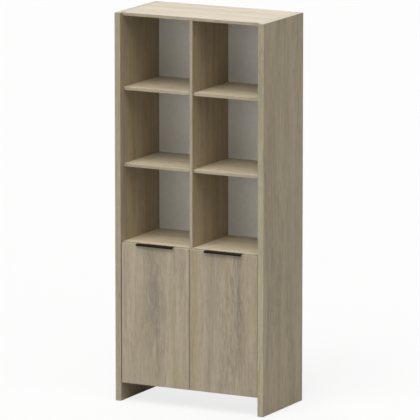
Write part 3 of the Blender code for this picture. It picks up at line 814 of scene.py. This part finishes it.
dressed = []
for label in SIDES:
    for level in HINGE_ROWS:
        for part, rider in HINGE_BODIES.items():
            body = f"{label}_{rider}" if rider else "carcass"
            name = f"plated_{part}_{label}_{level}"
            dressed.append(dress_hinge_part(f"{label}_{level}_hinge_{part}", name, body))
print("hinge parts:", len(dressed), "with", sum(len(part.data.polygons) for part in dressed), "faces")

# %% [markdown]
# ## Small round pieces
# Screws, rivets, pins, glides, nails, bumpers and covers all start as a short rod. Each is modelled once, as
# a master that stands at the origin, and its copies are set in their seats. A copy could share the master's
# mesh, but with a mesh of its own it can be turned and joined with its neighbours. How far a rim is rounded,
# or a middle is inset, is given as a share of the piece's height or radius.

# %% Start from a rod and round its rim
NEAR = 0.0001  # an edge this close to a level lies on it
SQUARE = 0.999  # the least part along Z of the normal of a flat end


def add_rod(radius, height, sides, base=0.0):
    """A rod that stands upright on the level of base, open for editing."""
    begin()
    bpy.ops.mesh.primitive_cylinder_add(vertices=sides, radius=radius, depth=height, location=(0, 0, 0))
    bpy.ops.object.mode_set(mode="EDIT")
    bpy.ops.transform.translate(value=(0, 0, base + height / 2))
    return bpy.context.object


def round_rim(level, width, steps):
    """Bevel the rim of an upright rod at a level."""
    pick("EDGE", lambda at, way: abs(at.z - level) < NEAR)
    bpy.ops.mesh.bevel(offset=width, segments=steps, affect="EDGES")


def pick_end(way):
    """Pick the flat end that looks up, for 1, or down, for -1."""
    pick("FACE", lambda at, normal: normal.z * way > SQUARE)


def model_dome(radius, height, sides, share, steps, degrees):
    """A short rod with a rounded top rim."""
    dome = add_rod(radius, height, sides)
    round_rim(height, height * share, steps)
    smooth(dome, degrees)
    return dome


# %% Copy a master
UP = (0, 0, 1)
DOWN = (0, 0, -1)
BACKWARDS = (0, 1, 0)


def middle(node):
    """The middle of a CAD node's box."""
    low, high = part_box(node)
    return (low + high) / 2


def nodes_called(start):
    """The CAD nodes whose names start so."""
    return [name for name in nodes if name.startswith(start)]


def facing(point, direction):
    """The stance of a master that stands at a point and looks in a direction."""
    return Matrix.Translation(point) @ Vector(direction).to_track_quat("Z", "Y").to_matrix().to_4x4()


def copy_at(master, stances, name, material, body="carcass"):
    """Copies of a master, one at each stance, as one piece with a mesh of its own."""
    begin()
    for stance in stances:
        add_copy(master, name).data.transform(stance)
    if len(stances) > 1:
        bpy.ops.object.join()
    return hand_over(bpy.context.object, name, material, body)


# %% [markdown]
# ## Screws
# One screw with a domed head and a cross recess is modelled, and every screw is a copy of it. The recess
# could be painted, but it is what the eye looks for, so it is cut: a tapered bar is taken out of the head
# twice, the second time turned by a right angle.

# %% Model one screw
SCREW_RADIUS = 0.0033
SCREW_HEAD = 0.0015
SCREW_DOME = 0.62
RECESS_LONG = 0.0046
RECESS_WIDE = 0.0011
RECESS_DEEP = 0.0011
RECESS_FLOOR = (0.45, 0.6, 1)  # the bar's lower face against its upper one


def cut_recess(screw, degrees):
    """Take one tapered bar out of the head."""
    top = (0, 0, SCREW_HEAD)
    begin()
    bpy.ops.mesh.primitive_cube_add(size=1, location=top)
    bar = bpy.context.object
    bpy.ops.object.mode_set(mode="EDIT")
    bpy.ops.transform.resize(value=(RECESS_LONG, RECESS_WIDE, 2 * RECESS_DEEP), center_override=top)
    pick_end(-1)
    bpy.ops.transform.resize(value=RECESS_FLOOR, center_override=top)
    bpy.ops.object.mode_set(mode="OBJECT")
    bar.rotation_euler.z = math.radians(degrees)
    bpy.ops.object.transform_apply(location=True, rotation=True, scale=True)
    apply_modifier(screw, "BOOLEAN", operation="DIFFERENCE", object=bar, solver="EXACT")
    bpy.data.objects.remove(bar)


def model_screw():
    screw = add_rod(SCREW_RADIUS, SCREW_HEAD, sides=20)
    round_rim(SCREW_HEAD, SCREW_HEAD * SCREW_DOME, steps=4)
    bpy.ops.object.mode_set(mode="OBJECT")
    for degrees in (0, 90):
        cut_recess(screw, degrees)
    smooth(screw, degrees=40)
    return screw


screw = model_screw()
print("screw:", len(screw.data.polygons), "faces")

# %% [markdown]
# The screws go where the real ones are: two in each cup's tabs, two in each plate's wings, two in each arm's
# back, where they adjust the door, and two in each pull's leg on the door's inner side.

# %% Drive the screws
SUNK = 0.0006  # how deep a screw's head sits in its seat
TAB_RISE = 0.0222  # from the cup's middle to a tab's hole
WING_RISE = 0.01525  # from the plate's middle to a wing's hole
PLATE_THICK = 0.003
ARM_SCREWS = (0.0075, 0.0275)  # in front of the arm's rear end
ARM_STAND_OFF = 0.0164  # from the wall to the arm's back
PULL_SUNK = 0.0009  # how deep a head sits in a pull's leg
PULL_SCREW_RISE = 0.013  # from the pull's lower edge
PULL_SCREW_SPREAD = 0.070  # from the pull's middle


def screw_hinge(label, side, level):
    """The screws of one hinge: one piece on the door and two on the carcass."""
    hinge = f"{label}_{level}_hinge"
    cup, plate = middle(f"{hinge}_cup"), middle(f"{hinge}_plate")
    cup_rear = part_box(f"{hinge}_cup")[1].y
    arm_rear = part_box(f"{hinge}_arm")[1].y
    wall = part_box(f"{hinge}_plate")[1 if side > 0 else 0].x
    wing = wall - side * (PLATE_THICK - SUNK)
    arm = wall - side * ARM_STAND_OFF + side * SUNK
    inwards = (-side, 0, 0)
    tabs = [facing((cup.x, cup_rear - SUNK, cup.z + rise), BACKWARDS) for rise in (-TAB_RISE, TAB_RISE)]
    wings = [facing((wing, plate.y, plate.z + rise), inwards) for rise in (-WING_RISE, WING_RISE)]
    backs = [facing((arm, arm_rear - back, cup.z), inwards) for back in ARM_SCREWS]
    copy_at(screw, tabs, f"cup_screws_{label}_{level}", zinc, body=f"{label}_door")
    copy_at(screw, wings, f"wing_screws_{label}_{level}", zinc)
    copy_at(screw, backs, f"arm_screws_{label}_{level}", nickel)


def screw_pull(label):
    low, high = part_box(f"{label}_pull")
    leg = Vector(((low.x + high.x) / 2, high.y - PULL_SUNK, low.z + PULL_SCREW_RISE))
    places = [leg + Vector((reach, 0, 0)) for reach in (-PULL_SCREW_SPREAD, PULL_SCREW_SPREAD)]
    seats = [facing(place, BACKWARDS) for place in places]
    copy_at(screw, seats, f"pull_screws_{label}", powder_black, f"{label}_door")


for label, side in SIDES.items():
    for level in HINGE_ROWS:
        screw_hinge(label, side, level)
    screw_pull(label)
bpy.data.objects.remove(screw)

# %% [markdown]
# ## Rivets
# A hinge's pins are riveted over on the outside of the arm. A head could be half a sphere, but a real one is
# pressed flat, so it is a short rod with a well rounded rim.

# %% Rivet the arms' pins
RIVET_RADIUS = 0.0019
RIVET_HEAD = 0.0006
RIVET_DOME = 0.8

rivet = model_dome(RIVET_RADIUS, RIVET_HEAD, sides=16, share=RIVET_DOME, steps=3, degrees=50)
for label in SIDES:
    pin = next(joint["pos_m"] for joint in frame["joints"] if joint["name"] == f"{label}_link_swing")
    for level in HINGE_ROWS:
        low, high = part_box(f"{label}_{level}_hinge_arm")
        heads = [facing((*pin[:2], high.z), UP), facing((*pin[:2], low.z), DOWN)]
        copy_at(rivet, heads, f"rivets_{label}_{level}", nickel)
        print(label, level, "rivets:", len(heads))
bpy.data.objects.remove(rivet)

# %% [markdown]
# ## Shelf pins
# A loose shelf lies on stepped steel pins: a thin shank in the hole and a thicker head. The CAD pins are
# eight-sided, which is enough for collisions but not for a close look. The new pin is a round rod whose end
# is inset and extruded into the shank.

# %% Model a shelf pin and set one in each place
PIN_RADIUS = 0.0035
PIN_HEAD = 0.0077
PIN_ROUND = 0.3  # of the radius
SHANK_RADIUS = 0.0025
SHANK_IN_WALL = 0.005
SEAT_GAP = 0.0003  # between the head and the wall


def model_shelf_pin():
    """Z points out of the wall. The wall's face is at 0."""
    pin = add_rod(PIN_RADIUS, PIN_HEAD, sides=24, base=SEAT_GAP)
    round_rim(SEAT_GAP + PIN_HEAD, PIN_RADIUS * PIN_ROUND, steps=3)
    pick_end(-1)
    bpy.ops.mesh.inset(thickness=PIN_RADIUS - SHANK_RADIUS)
    shank = (0, 0, -(SHANK_IN_WALL + SEAT_GAP))
    bpy.ops.mesh.extrude_region_move(TRANSFORM_OT_translate={"value": shank})
    smooth(pin)
    return pin


shelf_pin = model_shelf_pin()
supports = nodes_called("shelf_support")
for name in supports:
    low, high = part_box(name)
    out = 1 if ("left_side" in name or "right_divider" in name) else -1
    wall = (low.x if out > 0 else high.x) + out * SHANK_IN_WALL
    stance = facing((wall, middle(name).y, middle(name).z), (out, 0, 0))
    made = copy_at(shelf_pin, [stance], name.replace("support", "pin"), nickel)
    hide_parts(name)
bpy.data.objects.remove(shelf_pin)
print("shelf pins:", len(supports))

# %% [markdown]
# ## Glides
# Under each side two plastic glides keep the board's raw edge off the floor. A glide is a disc with a rounded
# rim and a well in the middle, where its nail is driven. The well is an inset face pushed inwards.

# %% Model a glide and a nail
WELL_RADIUS = 0.0042
WELL_DEEP = 0.0014
GLIDE_ROUND = 0.35
GLIDE_NAIL_RADIUS = 0.0030
GLIDE_NAIL_HEAD = 0.0009
NAIL_TOP = (0.78, 0.78, 1)  # the nail head's top against its foot
NAIL_INSET = 0.35
NAIL_CROWN = 0.12  # how far the middle rises


def model_glide(radius, height):
    """The glide stands on 0 and its well looks down."""
    rim = height * GLIDE_ROUND
    glide = add_rod(radius, height, sides=40)
    round_rim(0, rim, steps=4)
    pick_end(-1)
    bpy.ops.mesh.inset(thickness=radius - rim - WELL_RADIUS)
    bpy.ops.mesh.extrude_region_move(TRANSFORM_OT_translate={"value": (0, 0, WELL_DEEP)})
    smooth(glide)
    return glide


def model_nail(radius, head, sides):
    """A flat nail head that looks up, with its rim thinned."""
    nail = add_rod(radius, head, sides)
    pick_end(1)
    bpy.ops.transform.resize(value=NAIL_TOP, center_override=(0, 0, head))
    bpy.ops.mesh.inset(thickness=radius * NAIL_INSET)
    bpy.ops.transform.translate(value=(0, 0, head * NAIL_CROWN))
    smooth(nail, degrees=25)
    return nail


glide_low, glide_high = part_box("glide_left_front")
glide = model_glide((glide_high.x - glide_low.x) / 2, glide_high.z - glide_low.z)
glide_nail = model_nail(GLIDE_NAIL_RADIUS, GLIDE_NAIL_HEAD, sides=20)
print("glide:", len(glide.data.polygons), "faces, and its nail:", len(glide_nail.data.polygons))

# %% Set the glides
for name in nodes_called("glide"):
    foot = middle(name)
    foot.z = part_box(name)[0].z
    made = copy_at(glide, [Matrix.Translation(foot)], f"{name}_disc", glide_plastic)
    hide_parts(name)
    sunk = facing(foot + Vector((0, 0, WELL_DEEP)), DOWN)
    copy_at(glide_nail, [sunk], f"{name}_nail", zinc)
bpy.data.objects.remove(glide)
bpy.data.objects.remove(glide_nail)
print("glides:", len(nodes_called("glide")))

# %% [markdown]
# ## Bumpers
# Clear domes on the doors' backs soften the closing. A dome could be half a sphere, but the real one is a
# flat button with a generous round, so a short rod gets a wide bevel.

# %% Model a bumper and set one in each place
BUMPER_DOME = 0.62

pad_low, pad_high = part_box("bumper_left_top")
pad_radius, pad_height = (pad_high.x - pad_low.x) / 2, pad_high.y - pad_low.y
bumper = model_dome(pad_radius, pad_height, sides=32, share=BUMPER_DOME, steps=6, degrees=60)
pads = nodes_called("bumper")
for name in pads:
    stance = facing((middle(name).x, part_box(name)[0].y, middle(name).z), BACKWARDS)
    door = "left_door" if "left" in name else "right_door"
    made = copy_at(bumper, [stance], f"{name}_dome", bumper_clear, door)
    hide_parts(name)
bpy.data.objects.remove(bumper)
print("bumpers:", len(pads))

# %% [markdown]
# ## Cam covers
# The fixed boards are drawn to the uprights by cam fittings, let into their undersides. Each fitting is
# hidden by a thin plastic cover in the colour of the foil: a disc with a rounded rim and a dished middle. The
# picture can't show them, because it looks down on every board.

# %% Model a cam cover and fit them under the fixed boards
COVER_RADIUS = 0.0085
COVER_THICK = 0.0010
COVER_ROUND = 0.6
COVER_INSET = 0.35
COVER_DISH = 0.4  # how far the middle sinks
COVER_FROM_END = 0.034
COVER_FROM_EDGE = 0.055


def model_cover():
    """The cover looks up. Its copies look down from their boards."""
    cover = add_rod(COVER_RADIUS, COVER_THICK, sides=32)
    round_rim(COVER_THICK, COVER_THICK * COVER_ROUND, steps=2)
    pick_end(1)
    bpy.ops.mesh.inset(thickness=COVER_RADIUS * COVER_INSET)
    bpy.ops.transform.translate(value=(0, 0, -COVER_THICK * COVER_DISH))
    smooth(cover, degrees=40)
    return cover


cover = model_cover()
for name in FIXED_BOARDS:
    low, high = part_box(name)
    rear = min(high.y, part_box("upper_back_board")[0].y)
    places = [
        facing((x, y, low.z), DOWN)
        for x in (low.x + COVER_FROM_END, high.x - COVER_FROM_END)
        for y in (low.y + COVER_FROM_EDGE, rear - COVER_FROM_EDGE)
    ]
    copy_at(cover, places, f"cam_covers_{name}", cap_plastic)
    print("cam covers under", name, len(places))
bpy.data.objects.remove(cover)

# %% [markdown]
# ## Nails in the back
# The back boards slide in grooves and are nailed to the dividers and to the fixed boards behind them. The
# heads are one small nail, copied along those lines. The heads of one board make one piece.

# %% Nail the back boards
BACK_NAIL_RADIUS = 0.0021
BACK_NAIL_HEAD = 0.0005
NAIL_PITCH = 0.115
NAIL_FROM_END = 0.045
NAILED_BOARDS = {"upper": OPEN_SHELVES, "lower": ("bottom_panel",)}


def spread(low, high):
    """Even places from low to high, about one pitch apart."""
    low, high = low + NAIL_FROM_END, high - NAIL_FROM_END
    count = max(2, round((high - low) / NAIL_PITCH) + 1)
    return [low + (high - low) * step / (count - 1) for step in range(count)]


def nail_lines(divider, boards, rear):
    """A line of heads up the divider and one along each board, all looking backwards."""
    low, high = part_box(divider)
    places = [((low.x + high.x) / 2, z) for z in spread(low.z, high.z)]
    for name in boards:
        low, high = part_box(name)
        places += [(x, (low.z + high.z) / 2) for x in spread(low.x, high.x)]
    return [facing((x, rear, z), BACKWARDS) for x, z in places]


back_nail = model_nail(BACK_NAIL_RADIUS, BACK_NAIL_HEAD, sides=10)
for half, boards in NAILED_BOARDS.items():
    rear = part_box(f"{half}_back_board")[1].y
    heads = nail_lines(f"{half}_divider", boards, rear)
    copy_at(back_nail, heads, f"nails_{half}_back_board", zinc)
    print("nails in the", half, "back board:", len(heads))
bpy.data.objects.remove(back_nail)

# %% [markdown]
# ## Light, floor and background
# The picture's light is soft and comes mostly from above the front: the top is twice as bright as the doors,
# the shelves are lit far in, and the right side is the dimmest. Lamps could be placed by eye. Here each was
# first tried alone, and its share was then set from how bright the top, the doors, the sides and the niches
# are in the picture. All are suns with some width, so that the shadows are soft. The key comes from above the
# front, a steep one lights the shelves' front strips, two low ones reach into the niches, and one fills in
# the right side. The last one lights the back, which the picture can't show.

# %% Light the scene
LAMPS = {  # degrees to the right of the front, degrees up, width in degrees, and brightness
    "key_light": (0, 60, 40, 0.65),
    "overhead_light": (0, 83, 14, 0.19),
    "left_fill": (-18, 9, 24, 0.105),
    "front_fill": (5, 9, 18, 0.043),
    "right_fill": (65, 40, 55, 0.265),
    "back_fill": (215, 35, 70, 0.33),
}


def add_lamp(name, heading, height, width, brightness):
    """A sun lamp that shines from a direction. At brightness 1 a white face square to it looks white."""
    bpy.ops.object.light_add(type="SUN")
    lamp = bpy.context.object
    lamp.name = name
    lamp.data.energy = brightness * math.pi
    lamp.data.angle = math.radians(width)
    heading, height = math.radians(heading), math.radians(height)
    level = math.cos(height)
    towards = Vector((math.sin(heading) * level, -math.cos(heading) * level, math.sin(height)))
    lamp.rotation_euler = towards.to_track_quat("Z", "Y").to_euler()


for name, settings in LAMPS.items():
    add_lamp(name, *settings)
print("lamps:", len(LAMPS))

# %% [markdown]
# The picture's background is pure white, but so bright a sky would wash out the object. So the Light Path
# node lets the camera, metal and clear plastic see it white, while a weaker, warmer one lights the object.

# %% Make the sky
WHITE = (1, 1, 1, 1)
SKY_STRENGTH = 0.10
SKY_TINT = (1.0, 0.92, 0.80)


def make_sky():
    world = bpy.data.worlds.new("sky")
    bpy.context.scene.world = world
    world.use_nodes = True
    tree = world.node_tree
    tree.nodes.clear()
    path = add_node(tree, "ShaderNodeLightPath").outputs
    seen = calc(tree, "MAXIMUM", path["Is Camera Ray"], path["Is Glossy Ray"])
    seen = calc(tree, "MAXIMUM", seen, path["Is Transmission Ray"])
    light = add_node(tree, "ShaderNodeBackground", {0: (*SKY_TINT, 1), 1: SKY_STRENGTH}).outputs[0]
    white = add_node(tree, "ShaderNodeBackground", {0: WHITE, 1: 1.0}).outputs[0]
    both = add_node(tree, "ShaderNodeMixShader", {0: seen, 1: light, 2: white})
    add_node(tree, "ShaderNodeOutputWorld", {0: both.outputs[0]})
    return world


print("world:", make_sky().name)

# %% [markdown]
# The floor is a plain pale sheet. To the camera it is mostly white, so that it joins the background, and it
# keeps a share of the cabinet's shadow. The Standard view shows each colour as bright as it was written.

# %% Lay the floor
FLOOR_RADIUS = 14.0
FLOOR_SIDES = 96
FLOOR_TONE = 0.40  # what the floor throws back at the cabinet
FLOOR_SEEN = 0.70  # the same floor as the camera sees it
FLOOR_WHITE = 0.8  # how much of what the camera sees of the floor is plain white
FLOOR_ROUGHNESS = 0.9


def make_floor_finish():
    made, tree, shader = start_material("floor_white")
    shader.inputs["Roughness"].default_value = FLOOR_ROUGHNESS
    to_camera = add_node(tree, "ShaderNodeLightPath").outputs["Is Camera Ray"]
    tone = calc(tree, "MULTIPLY_ADD", to_camera, FLOOR_SEEN - FLOOR_TONE, FLOOR_TONE)
    tree.links.new(tone, shader.inputs["Base Color"])
    white = add_node(tree, "ShaderNodeEmission", {0: WHITE, 1: 1.0}).outputs[0]
    share = calc(tree, "MULTIPLY", to_camera, FLOOR_WHITE)
    both = add_node(tree, "ShaderNodeMixShader", {0: share, 1: shader.outputs[0], 2: white})
    output = next(node for node in tree.nodes if node.type == "OUTPUT_MATERIAL")
    tree.links.new(both.outputs[0], output.inputs[0])
    return made


begin()
bpy.ops.mesh.primitive_circle_add(
    vertices=FLOOR_SIDES, radius=FLOOR_RADIUS, fill_type="NGON", location=(0, 0, 0)
)
floor = bpy.context.object
floor.name = "floor"
floor.data.materials.append(make_floor_finish())
bpy.context.scene.view_settings.view_transform = "Standard"
print("floor:", [round(side, 1) for side in floor.dimensions])
